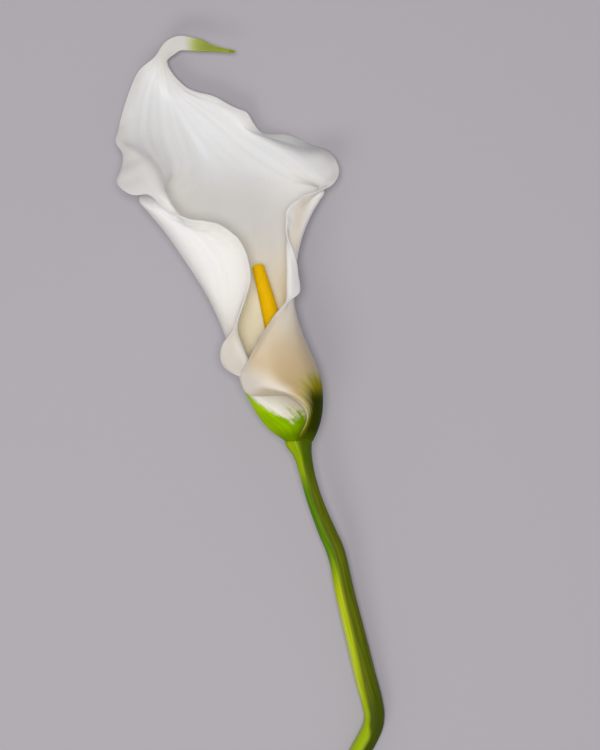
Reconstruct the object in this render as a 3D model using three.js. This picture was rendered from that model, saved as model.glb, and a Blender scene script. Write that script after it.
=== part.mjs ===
// A cut calla lily flower, laid on its back: the stem, the white spathe that is rolled into a funnel,
// and the yellow spadix that stands in it. Millimetres, +Z up, +Y from the cut end to the spathe's tail.
// The spathe is one curled leaf. Nine lengthwise rails give its shape, from the left margin round the
// back to the right margin, which laps over the left one in front.
import * as THREE from "three";
import { mergeVertices } from "three/addons/utils/BufferGeometryUtils.js";

const { clamp, degToRad, lerp, smoothstep } = THREE.MathUtils;

// Driving sizes
const NECK = new THREE.Vector3(14.8, 24.2, 0); // the joint of stem and spathe, from the footprint's middle
const AXIS_HEIGHT = 20; // the neck's height above the table
const NECK_RADIUS = 4.1;
const GAP = 0.3; // clearance where two pieces meet
const WELD = 1e-3; // vertices closer than this are one
const UP = new THREE.Vector3(0, 0, 1);

const BLADE_BASE = 1.0; // thickness of the spathe at the neck, in its limb and along its margins
const BLADE_LIMB = 0.8;
const BLADE_MARGIN = 0.65;

const PEG_RADIUS = 1.9; // the stem's pith runs up into the spathe and carries the spadix
const PEG_LENGTH = 3.2;
const STEM_SIDES = 16;
const STEM_RINGS = 54;

const FLORET_RELIEF = 0.22; // height of the florets that cover the spadix
const FLORETS_ROUND = 6;
const FLORET_PITCH = 1.7; // from one row of florets to the next but one, along the spadix
const SPADIX_SIDES = 24;
const SPADIX_RINGS = 58;
const SPADIX_DOME = 1.3; // length of its rounded tip

const LIMB_START = 55; // percent of the length: the tube's round section opens into the flat limb
const LIMB_END = 85;
const TAIL_START = 96; // percent: the limb ends and the tail begins
const [STRAIGHT_START, STRAIGHT_END] = [82, 90]; // percent: the inner face comes to lie above the outer
const [FILL_START, FILL_END] = [94, 98]; // percent: the tail's channel fills up
const ROWS_END = [58, TAIL_START, 100]; // grid of the spathe: rows up to each of these percents,
const ROW_COUNTS = [26, 30, 10]; // and how many; then columns between rails
const SPAN_COLUMNS = 3;

// Rails of the spathe's outer face: percent of the length from neck to tail, then x, y and height,
// with x and y counted from the neck
const rails = {
  leftMargin: [
    [3, 3.4, 4.3, 23.6], [7, 4.2, 9.3, 25.2], [10.5, 0.8, 13, 25.9], [13.5, -4, 15, 26],
    [15, -7.2, 15.6, 26.2], [16.2, -9.4, 16.3, 26.8], [17.3, -11.2, 17.2, 27.7], [18.5, -13.6, 17.9, 28.5],
    [20, -16.8, 18.9, 28.8], [22.5, -20.7, 20.8, 28.7], [25, -23, 23.1, 29.6], [27, -23.6, 25.7, 30.2],
    [29, -22.9, 29, 31], [31.5, -20.2, 32.5, 32.6], [34, -18.9, 36, 33.6], [36, -17.8, 38.6, 33.9],
    [38, -16.6, 41.9, 34], [41, -14.9, 46.6, 34.2], [46, -15.3, 53.1, 34.4], [51, -17.1, 58.2, 34.7],
    [55, -19.3, 61, 35], [59, -23.4, 63.8, 35.3], [63, -28.6, 65.1, 35.5], [66, -33.9, 65.7, 35.4],
    [67.5, -37.4, 67, 34.8], [69, -40.4, 69.1, 33.7], [71, -44.6, 73, 31.7], [72.5, -48.9, 73, 29.3],
    [74, -52.5, 74.7, 27.2], [75.5, -54.4, 77, 25.1], [78, -53.3, 81.1, 23], [81, -53.2, 86.6, 20.4],
    [82.5, -55.3, 89.5, 17.6], [84.5, -55, 92.9, 14.6], [88, -53.1, 101.8, 10.4], [91.5, -49.3, 111.9, 8],
    [94.2, -44.6, 116.2, 8],
  ],
  leftLip: [
    [3, 1.8, 4.3, 24.6], [7, 0, 8.5, 26.8], [11, -4.8, 12.8, 27.4], [15, -10.9, 15, 27.1],
    [17, -13.4, 16.7, 26.7], [18.5, -14, 18.6, 27], [20, -14.9, 20.3, 27.9], [22.5, -15.3, 22.8, 29.2],
    [25, -16.3, 25.4, 30.4], [29, -18.1, 29.8, 30.8], [31.5, -18.9, 32.1, 31.2], [34, -19.3, 34.1, 31.6],
    [36, -18.9, 36.7, 32], [38, -18, 40.3, 32.6], [41, -16.7, 45.7, 33.4], [46, -17, 52.5, 33.8],
    [51, -18.8, 56.6, 34.2], [55, -21.2, 58.9, 34.5], [59, -25, 61.4, 34.6], [63, -29.8, 62.9, 34.4],
    [66, -33.8, 64.2, 33.8], [67.5, -35.7, 66.4, 33.6], [69, -37.8, 69.3, 33.6], [71, -40, 72.4, 33.2],
    [72.5, -41.4, 74.9, 32], [74, -42.5, 77.4, 30.5], [75.5, -43.6, 79.6, 29], [78, -45.9, 83.2, 26],
    [81, -50, 86.8, 22.1], [82.5, -52.8, 88.8, 18.2], [84.5, -52.9, 92.6, 14.3], [88, -51.2, 101, 9.3],
    [91.5, -48, 110.5, 6.9], [94.2, -44.4, 114.8, 7],
  ],
  leftFront: [
    [3, -1.2, 3.4, 26], [7, -5.3, 7.3, 28], [15, -13.4, 13.9, 27.4], [22, -18.2, 21, 26],
    [26, -20, 25.5, 25.1], [30, -21.1, 30.2, 26], [34, -22.3, 35.5, 28.4], [38, -23.4, 40.8, 30.2],
    [46, -25.1, 51.4, 31.7], [55, -30.7, 60.3, 32.3], [63, -37.6, 65.6, 31.4], [66, -40.6, 68.2, 30.4],
    [69, -41.8, 71.1, 28.6], [72.5, -40.9, 75, 25.6], [75.5, -41.3, 79, 22.7], [78, -42.9, 82.2, 20.3],
    [81, -46.2, 86.6, 17.3], [84.5, -48.5, 92.9, 11.6], [88, -48.1, 99.9, 7.4], [91.5, -46.1, 109, 5.3],
    [94.2, -43.9, 113.5, 6.2],
  ],
  leftSide: [
    [1.5, -5.7, 0.9, 20], [3, -8.2, 2.4, 20], [7, -12.4, 7.2, 20], [12, -15.4, 12.6, 20],
    [18, -18, 18.3, 20], [24, -20.4, 25.5, 20], [30, -22.8, 32.7, 20], [37, -27.3, 42.6, 20.3],
    [46, -34, 53.1, 20.6], [55, -41, 63.2, 21.2], [61, -46, 69.2, 21.5], [64, -48.3, 72, 21],
    [67, -47.8, 73.9, 19.2], [69.5, -45.6, 74.9, 17.3], [72.5, -42.4, 77.2, 14.6],
    [75.5, -39.4, 80.4, 11.6], [78, -39.2, 83.3, 9.8], [81, -40.8, 87.7, 7.7], [84.5, -42.2, 92.8, 5.3],
    [88, -42.6, 99.1, 3.5], [91.5, -42.9, 106.2, 3.2], [94.2, -43.1, 110.9, 4.7],
  ],
  midrib: [
    [1.5, 0, 2, 13.7], [3, -0.6, 4, 11.9], [7, -2.1, 8.3, 9.8], [12, -3.3, 13.4, 8.9],
    [20, -5.8, 21.9, 8.6], [30, -10, 33.2, 8.3], [40, -14, 46.3, 7.1], [50, -18.3, 59.2, 5.3],
    [60, -22.7, 71, 3], [70, -27, 80.3, 0.9], [78, -30.7, 87.7, -0.2], [84.5, -33.8, 94.2, -0.2],
    [88, -35.7, 97.9, 0.4], [91.5, -37.5, 102.1, 1.4], [94.2, -39.5, 106.8, 2.9], [95.2, -40.8, 110.9, 4.4],
  ],
  rightSide: [
    [1.5, 4.5, 1.2, 20], [3, 5.4, 3.3, 20], [7, 6.6, 8.1, 20], [12, 6.9, 14.4, 20], [18, 6, 20.1, 20],
    [24, 3.6, 26.1, 20], [30, 0.9, 32.1, 20], [37, -1.6, 40.5, 20], [43, -1.8, 46.5, 19.4],
    [50, -0.6, 56.2, 18.5], [56, 1.2, 62.8, 17.6], [62, 3.9, 68.9, 16.4], [66.5, 6.3, 72.9, 15.4],
    [68.5, 7.4, 74.7, 14.6], [70.5, 6.7, 76.7, 13.3], [74, -0.2, 79.3, 9.8], [79, -9.5, 84.4, 6.4],
    [84.5, -20.2, 92.3, 4.1], [88, -27, 98.2, 3.2], [91.5, -32.8, 102.5, 3.5],
    [94.2, -37.8, 107.3, 4.4], [95.2, -40.2, 111.4, 5.6],
  ],
  rightFront: [
    [3, 3.4, 3.9, 27.1], [7, 4.8, 8.8, 29], [12, 1.6, 14.6, 31.1], [18, -4.6, 19.4, 32.2],
    [24, -6.6, 26.6, 32.2], [30, -5.4, 32.6, 31.1], [34, -4, 36.6, 29], [37, -3.2, 40, 26.8],
    [43, -2.2, 45.8, 24.2], [50, -1.9, 55.2, 23.5], [56, -1, 61.9, 22.6], [62, 1, 68.5, 20.9],
    [67, 3.6, 73, 18.9], [70, 6.2, 75.8, 17.4], [74, 5.4, 79.6, 15.2], [79, 0, 85, 10.3],
    [82, -5.5, 88.9, 7.2], [84.5, -11.6, 91.9, 5.4], [86, -15.7, 94, 5.1], [88, -20.8, 98.2, 5.3],
    [91.5, -29.3, 103.5, 5.6], [94.2, -36.6, 107.7, 5.9], [95.2, -39.6, 111.6, 6.8],
  ],
  rightLip: [
    [3, 1.9, 4, 28.5], [7, 2.9, 8.8, 30.7], [10, 0.8, 12.3, 31.8], [13, -3.9, 14.7, 32.6],
    [16, -8, 15.9, 32.8], [18.5, -11, 17.2, 32.7], [20.5, -12.7, 19.6, 32.5], [22.5, -13.7, 22.2, 32.4],
    [24.5, -13.8, 23.9, 32.4], [27, -12.8, 26, 32.6], [31, -9.4, 32, 32], [35, -5.6, 37.5, 29.9],
    [38, -3.6, 41, 27.5], [43, -3.3, 47.5, 26.2], [48, -3.3, 53.4, 25.6], [51, -3.5, 57, 25],
    [53, -3.4, 59.6, 24.3], [55, -2.9, 61.8, 23.9], [57, -2.3, 64.2, 23.8], [61, -1.3, 68, 23.2],
    [65, 1.4, 71.6, 22], [69, 5.8, 74.5, 19.6], [73, 8.4, 78, 16.9], [76, 8.4, 81.9, 14],
    [79, 5.5, 86.1, 9.8], [82, -0.3, 89.2, 2.9], [84.5, -8.3, 91.7, 3.1], [86, -13.3, 93, 3.9],
    [87, -15.9, 95, 4.8], [87.8, -17.8, 97.3, 5.5], [88.6, -19.6, 99.3, 6], [91.5, -27.6, 103.6, 6.6],
    [94.2, -35.9, 107.2, 6.4], [95.2, -39.2, 111.2, 7],
  ],
  rightMargin: [
    [3, 1, 3.9, 28.2], [5, 1.9, 6, 29.2], [7, 1.9, 8.4, 30.2], [10, -0.5, 11.7, 30.9], [13, -4.7, 13.9, 31],
    [16, -10.4, 13.6, 30.6], [17.3, -13.6, 13.5, 30], [18.5, -15.9, 14.2, 29.8], [19.5, -16.9, 15.6, 29.8],
    [20.5, -17.3, 17, 30.1], [22.5, -17.7, 19.6, 30.8], [24.5, -16.1, 22.6, 31.4], [27, -14.2, 26.4, 31.8],
    [31, -10.4, 33.2, 31.2], [35, -6.4, 38.9, 29.6], [38, -2.8, 42, 28.3], [40, -0.6, 43.6, 27],
    [43, -0.1, 46.3, 25.7], [46, -0.7, 49.9, 25.3], [48, -0.9, 52.6, 25.4], [51, -2.1, 57.1, 26],
    [53, -3.2, 60, 26.2], [55, -3.8, 62.6, 26], [57, -4, 65.1, 25.7], [61, -3.3, 69.3, 25.3],
    [65, 0, 72.3, 24.2], [69, 5.7, 74.9, 21.4], [73, 10.5, 77.7, 17.5], [75, 11.7, 80.9, 15.1],
    [77, 11, 84.2, 12.2], [79, 8.8, 87.3, 7.4], [82, 2.8, 90.6, -0.2], [84, -4.4, 93.4, 0.8],
    [85, -7.6, 93.6, 1.6], [86, -11, 93.8, 2.6], [87, -13.2, 95.1, 4.3], [87.6, -15, 97.7, 5.8],
    [88.2, -15.9, 99.7, 6.8], [89, -18.3, 100.6, 7.4], [90, -21.6, 102.2, 7.7], [91.5, -26.2, 104.6, 7.7],
    [93, -31.8, 105.9, 7.7], [94.2, -35.5, 108, 7.7], [95.2, -39, 111.8, 8],
  ],
};

// The tail's midline: percent of the length, x, y, height, and the width of its channel section
const tail = [
  [96, -42, 116.3, 7.7, 3.9], [97, -39.4, 119.3, 8.3, 4.7], [98, -36.1, 120.7, 8.6, 4.5],
  [98.7, -32.9, 120.3, 8.8, 4.1], [99.3, -29.3, 119.7, 8.9, 3.3], [99.7, -25.7, 118.8, 9.3, 1.6],
  [100, -19.7, 117.9, 9.8, 0.7],
];
const TAIL_HOLLOW = 0.75; // depth of that channel over its half width

// Where each rail starts on the neck's ring and how it lies across the tail's channel, in degrees,
// and how far it stands out at the neck, because the right flap laps over the left one
const placing = {
  leftMargin: { neck: 60, tail: 180, lap: -0.6 },
  leftLip: { neck: 80, tail: 202, lap: -0.4 },
  leftFront: { neck: 120, tail: 222, lap: -0.1 },
  leftSide: { neck: 180, tail: 245, lap: 0 },
  midrib: { neck: 270, tail: 270, lap: 0 },
  rightSide: { neck: 360, tail: 295, lap: 0 },
  rightFront: { neck: 425, tail: 318, lap: 1 },
  rightLip: { neck: 450, tail: 338, lap: 1.3 },
  rightMargin: { neck: 458, tail: 360, lap: 1.4 },
};

// Centre line of the stem from the neck to the cut end, and of the spadix from its foot to its tip:
// distance along it, x, y, height, radius
const stemLine = [
  [0, 0, -GAP, 20, NECK_RADIUS], [1.5, 0, -1.8, 20, 3.5], [4, 0.8, -4.3, 19.3, 2.8],
  [9, 1.9, -8.9, 18.2, 2.35], [18, 4.3, -17.5, 16.4, 2.35], [30, 8.8, -28.9, 14, 2.7],
  [34, 10.4, -32.5, 13.4, 2.75], [38, 11.6, -36.5, 12.7, 2.75], [46, 13.3, -44.8, 11.2, 2.9],
  [64, 17.4, -61.8, 8.3, 3.2], [74, 19.8, -71.7, 6.8, 3.3], [83, 22.1, -80.4, 5.6, 3.25],
  [87, 22.7, -84, 5.2, 3.15], [90, 22.4, -87.2, 4.8, 3.1], [93, 21.3, -90, 4.5, 3.1],
  [98, 18.7, -94.9, 4.1, 3.1], [117, 9.2, -112.8, 3.2, 3.1], [148, -4.3, -141, 3.1, 3.15],
  [180, -15.3, -170.1, 3.1, 3.2],
];
const spadixLine = [
  [0, -0.5, PEG_LENGTH + GAP, 20, 2.4], [3, -0.8, 6.4, 20, 2.75], [9, -2.1, 12, 20, 2.9],
  [17, -4.2, 19.7, 19.8, 3], [26, -6.6, 28.5, 19.4, 2.9], [34.5, -8.5, 36.8, 19.1, 2.6],
  [45.5, -11.3, 47.5, 18.5, 2.05], [51, -12.8, 52.9, 18.2, 1.8],
];

// Smooth curve through stations [t, ...values], a cubic on each span that leans on both neighbours
function curveAt(stations, t) {
  const last = stations.length - 1;
  let k = 0;
  while (k < last - 1 && stations[k + 1][0] <= t) k += 1;
  const slope = (i, j) => stations[j].map(
    (value, c) => (value - stations[i][c]) / (stations[j][0] - stations[i][0]),
  );
  const lean = (i) => {
    if (i === 0) return slope(0, 1);
    if (i === last) return slope(last - 1, last);
    const before = stations[i][0] - stations[i - 1][0];
    const after = stations[i + 1][0] - stations[i][0];
    const [first, second] = [slope(i - 1, i), slope(i, i + 1)];
    return first.map((value, c) => (value * after + second[c] * before) / (before + after));
  };
  const span = stations[k + 1][0] - stations[k][0];
  const s = (t - stations[k][0]) / span;
  const [start, end] = [lean(k), lean(k + 1)];
  return stations[k].slice(1).map((value, c) => {
    const [a, b] = [start[c + 1] * span, end[c + 1] * span];
    const rise = stations[k + 1][c + 1] - value;
    return value + s * (a + s * (3 * rise - 2 * a - b + s * (a + b - 2 * rise)));
  });
}

// One closed body from rings of points: rings joined side by side, and a fan over each end ring
function loft(rings, tip) {
  const sides = rings[0].length;
  const positions = [...rings.flat(), middle(rings[0]), tip];
  const faces = [];
  for (let i = 0; i + 1 < rings.length; i += 1) {
    for (let j = 0; j < sides; j += 1) {
      const [a, b] = [i * sides + j, i * sides + ((j + 1) % sides)];
      faces.push(a, b, b + sides, a, b + sides, a + sides);
    }
  }
  const [foot, top] = [rings.length * sides, rings.length * sides + 1];
  const lastRing = (rings.length - 1) * sides;
  for (let j = 0; j < sides; j += 1) {
    const next = (j + 1) % sides;
    faces.push(foot, next, j, top, lastRing + j, lastRing + next);
  }
  return bodyOf(positions, faces);
}

function middle(points) {
  return points.reduce((sum, point) => sum.add(point), new THREE.Vector3()).divideScalar(points.length);
}

function bodyOf(positions, faces) {
  const geometry = new THREE.BufferGeometry();
  const numbers = positions.flatMap((point) => point.toArray());
  geometry.setAttribute("position", new THREE.Float32BufferAttribute(numbers, 3));
  geometry.setIndex(faces);
  const merged = mergeVertices(geometry, WELD);
  merged.computeVertexNormals();
  return merged;
}

// Ring of points round a centre line at distance s, with a radius for each angle
function ringAt(line, s, sides, radiusAt) {
  const step = 0.05;
  const end = line[line.length - 1][0];
  const centre = new THREE.Vector3(...curveAt(line, s));
  const ahead = new THREE.Vector3(...curveAt(line, Math.min(s + step, end)));
  const behind = new THREE.Vector3(...curveAt(line, Math.max(s - step, 0)));
  const along = ahead.sub(behind).normalize();
  const across = UP.clone().cross(along).normalize();
  const up = along.clone().cross(across);
  return Array.from({ length: sides }, (_, j) => {
    const angle = (2 * Math.PI * j) / sides;
    const radius = radiusAt(angle);
    const point = centre.clone()
      .addScaledVector(across, radius * Math.cos(angle))
      .addScaledVector(up, radius * Math.sin(angle));
    return point.setZ(Math.max(point.z, 0)); // flat where it rests on the table
  });
}

// Spathe: the rails with their start on the neck's ring and their end in the tail's channel
function wholeRail(name) {
  const { neck, tail: tailAngle, lap } = placing[name];
  const [angle, turn] = [degToRad(neck), degToRad(tailAngle)];
  const radius = NECK_RADIUS + lap;
  const start = [0, radius * Math.cos(angle), 0, AXIS_HEIGHT + radius * Math.sin(angle)];
  const end = tail.map(([percent, x, y, height, width], i) => {
    const [before, after] = [tail[Math.max(i - 1, 0)], tail[Math.min(i + 1, tail.length - 1)]];
    const along = new THREE.Vector2(after[1] - before[1], after[2] - before[2]).normalize();
    const half = width / 2;
    const side = half * Math.cos(turn);
    const sink = half * TAIL_HOLLOW * (0.5 + Math.sin(turn));
    return [percent, x + side * along.y, y - side * along.x, height + sink];
  });
  return [start, ...rails[name], ...end];
}

// Two more rails stand between a side rail and its front or back neighbour, out on the round corner
// of the tube's section, and move in as the limb flattens out
function corner(side, face, percent) {
  const round = 1 - smoothstep(percent, LIMB_START, LIMB_END);
  const out = 0.5 + 0.207 * round;
  const lengthwise = 0.5 + 0.1 * round;
  return [
    face[0] + out * (side[0] - face[0]),
    face[1] + lengthwise * (side[1] - face[1]),
    side[2] + out * (face[2] - side[2]),
  ];
}

// One rib of the spathe: a smooth curve across all rails at the same percent of the length
function ribAt(whole, percent) {
  const at = Object.fromEntries(
    Object.entries(whole).map(([name, rail]) => [name, curveAt(rail, percent)]),
  );
  const points = [
    at.leftMargin, at.leftLip, at.leftFront, corner(at.leftSide, at.leftFront, percent), at.leftSide,
    corner(at.leftSide, at.midrib, percent), at.midrib, corner(at.rightSide, at.midrib, percent),
    at.rightSide, corner(at.rightSide, at.rightFront, percent), at.rightFront, at.rightLip, at.rightMargin,
  ];
  let distance = 0;
  const stations = points.map((point, i) => {
    if (i > 0) distance += Math.sqrt(Math.hypot(...point.map((value, c) => value - points[i - 1][c])));
    return [distance, ...point];
  });
  return points.slice(1).flatMap((_, i) => {
    const [from, to] = [stations[i][0], stations[i + 1][0]];
    const steps = Array.from({ length: SPAN_COLUMNS }, (_, k) => from + ((to - from) * k) / SPAN_COLUMNS);
    return (i + 2 === points.length ? [...steps, to] : steps).map((t) => curveAt(stations, t));
  });
}

function spatheGeometry() {
  const whole = Object.fromEntries(Object.keys(rails).map((name) => [name, wholeRail(name)]));
  const percents = [0];
  ROWS_END.forEach((to, part) => {
    const from = percents[percents.length - 1];
    const count = ROW_COUNTS[part];
    for (let i = 1; i <= count; i += 1) percents.push(lerp(from, to, i / count));
  });
  const outer = percents.map((percent) => ribAt(whole, percent).map(
    ([x, y, height]) => new THREE.Vector3(x, y, Math.max(height, 0)), // flat where it rests on the table
  ));
  const [rows, columns] = [outer.length, outer[0].length];

  // The inner face lies inward of the outer one by the blade's thickness. Towards the tail it lies
  // straight above the outer face, and there the channel fills up until the tip is solid.
  const at = (grid, i, j) => grid[clamp(i, 0, rows - 1)][clamp(j, 0, columns - 1)];
  const facing = outer.map((row, i) => row.map((_, j) => {
    const across = at(outer, i, j + 1).clone().sub(at(outer, i, j - 1));
    const along = at(outer, i + 1, j).clone().sub(at(outer, i - 1, j));
    const straight = smoothstep(percents[i], STRAIGHT_START, STRAIGHT_END);
    return across.cross(along).normalize().lerp(UP, straight);
  }));
  const inner = outer.map((row, i) => row.map((point, j) => {
    const inward = middle([
      at(facing, i, j), at(facing, i, j), at(facing, i - 1, j), at(facing, i + 1, j),
      at(facing, i, j - 1), at(facing, i, j + 1),
    ]).normalize();
    const middleThickness = lerp(BLADE_BASE, BLADE_LIMB, percents[i] / 100);
    const fromMargin = Math.min(j, columns - 1 - j) / SPAN_COLUMNS;
    const thickness = lerp(BLADE_MARGIN, middleThickness, Math.min(fromMargin, 1));
    const brim = lerp(row[0].z, row[columns - 1].z, j / (columns - 1));
    const fill = smoothstep(percents[i], FILL_START, FILL_END) * Math.max(brim - point.z, 0);
    return point.clone().addScaledVector(inward, thickness).addScaledVector(UP, fill);
  }));

  const faces = [];
  const innerStart = rows * columns;
  const quad = (a, b, c, d) => faces.push(a, b, c, a, c, d);
  for (let i = 0; i + 1 < rows; i += 1) {
    for (let j = 0; j + 1 < columns; j += 1) {
      const [a, b] = [i * columns + j, i * columns + j + 1];
      const [c, d] = [b + columns, a + columns];
      faces.push(a, c, b, a, d, c);
      quad(innerStart + a, innerStart + b, innerStart + c, innerStart + d);
    }
  }
  const rim = (a, b) => quad(a, b, innerStart + b, innerStart + a);
  for (let j = 0; j + 1 < columns; j += 1) {
    rim(j, j + 1);
    rim(innerStart - columns + j + 1, innerStart - columns + j);
  }
  for (let i = 0; i + 1 < rows; i += 1) {
    rim((i + 1) * columns, i * columns);
    rim((i + 1) * columns - 1, (i + 2) * columns - 1);
  }
  return bodyOf([...outer.flat(), ...inner.flat()], faces);
}

// Stem: flared to the neck, where its shoulder carries the spathe and its peg the spadix
function stemGeometry() {
  const length = stemLine[stemLine.length - 1][0];
  const ring = (s, radius) => ringAt(stemLine, s, STEM_SIDES, () => radius);
  const peg = ring(0, PEG_RADIUS);
  const pegTop = peg.map((point) => point.clone().setY(PEG_LENGTH));
  const rings = [pegTop, peg];
  for (let i = 0; i <= STEM_RINGS; i += 1) {
    const s = (length * i) / STEM_RINGS;
    rings.push(ring(s, curveAt(stemLine, s)[3]));
  }
  const cut = rings[rings.length - 1];
  return loft(rings, middle(cut));
}

// Spadix: a tapered column whose florets stand out in staggered rows
function spadixGeometry() {
  const length = spadixLine[spadixLine.length - 1][0];
  const rings = [];
  for (let i = 0; i < SPADIX_RINGS; i += 1) {
    const s = (length * i) / SPADIX_RINGS;
    const fromTip = Math.min((length - s) / SPADIX_DOME, 1);
    const dome = Math.sqrt(1 - (1 - fromTip) ** 2);
    const radius = curveAt(spadixLine, s)[3];
    const row = Math.cos((2 * Math.PI * s) / FLORET_PITCH);
    rings.push(ringAt(spadixLine, s, SPADIX_SIDES,
      (angle) => dome * (radius + FLORET_RELIEF * row * Math.cos(FLORETS_ROUND * angle))));
  }
  return loft(rings, new THREE.Vector3(...curveAt(spadixLine, length)));
}

function piece(name, geometry, color, roughness) {
  const mesh = new THREE.Mesh(geometry, new THREE.MeshStandardMaterial({ color, roughness, metalness: 0 }));
  mesh.name = name;
  return mesh;
}

const flower = new THREE.Group();
flower.position.copy(NECK);
flower.add(
  piece("spathe", spatheGeometry(), 0xe9e6e0, 0.5),
  piece("spadix", spadixGeometry(), 0xf0b400, 0.6),
  piece("stem", stemGeometry(), 0x7fa81a, 0.45),
);

export default flower;
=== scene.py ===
"""A cut calla lily that lies on its back on a table, with the mouth of its spathe upwards.

Metres, +Z up, +Y from the stem's cut end to the spathe's tail. The spathe's stations are in millimetres.
"""

import math

import bpy
import numpy as np
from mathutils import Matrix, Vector


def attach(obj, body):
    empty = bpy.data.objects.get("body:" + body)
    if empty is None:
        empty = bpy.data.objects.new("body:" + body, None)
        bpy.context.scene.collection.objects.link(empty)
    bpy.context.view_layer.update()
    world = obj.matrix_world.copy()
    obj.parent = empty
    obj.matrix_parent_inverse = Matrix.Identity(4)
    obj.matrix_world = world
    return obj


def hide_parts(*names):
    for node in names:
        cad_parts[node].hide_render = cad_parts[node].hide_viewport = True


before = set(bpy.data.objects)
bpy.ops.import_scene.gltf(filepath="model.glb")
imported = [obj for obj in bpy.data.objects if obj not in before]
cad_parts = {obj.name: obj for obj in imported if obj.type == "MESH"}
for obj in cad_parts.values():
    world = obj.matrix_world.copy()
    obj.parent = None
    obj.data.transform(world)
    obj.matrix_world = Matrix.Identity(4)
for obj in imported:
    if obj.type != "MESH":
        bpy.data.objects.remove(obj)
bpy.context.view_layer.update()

# ---- Spathe -------------------------------------------------------------------------------------
# The white funnel is a single leaf, rolled round the spadix with its right flap over its left one.
# It is spongy, waxy tissue under 1 mm thick, and its margins roll back where they are free. Below, it
# grows out of the stem's neck, and its midrib runs out into a narrow tail that curls to the right.
MM = 0.001
NECK = np.array([14.8, 24.2, 0.0])  # where the stem ends and the spathe begins
NECK_HEIGHT = 20.0
NECK_RADIUS = 4.2
NECK_LEFT = 0.3  # the neck's middle lies this far to the left of the origin

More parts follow.
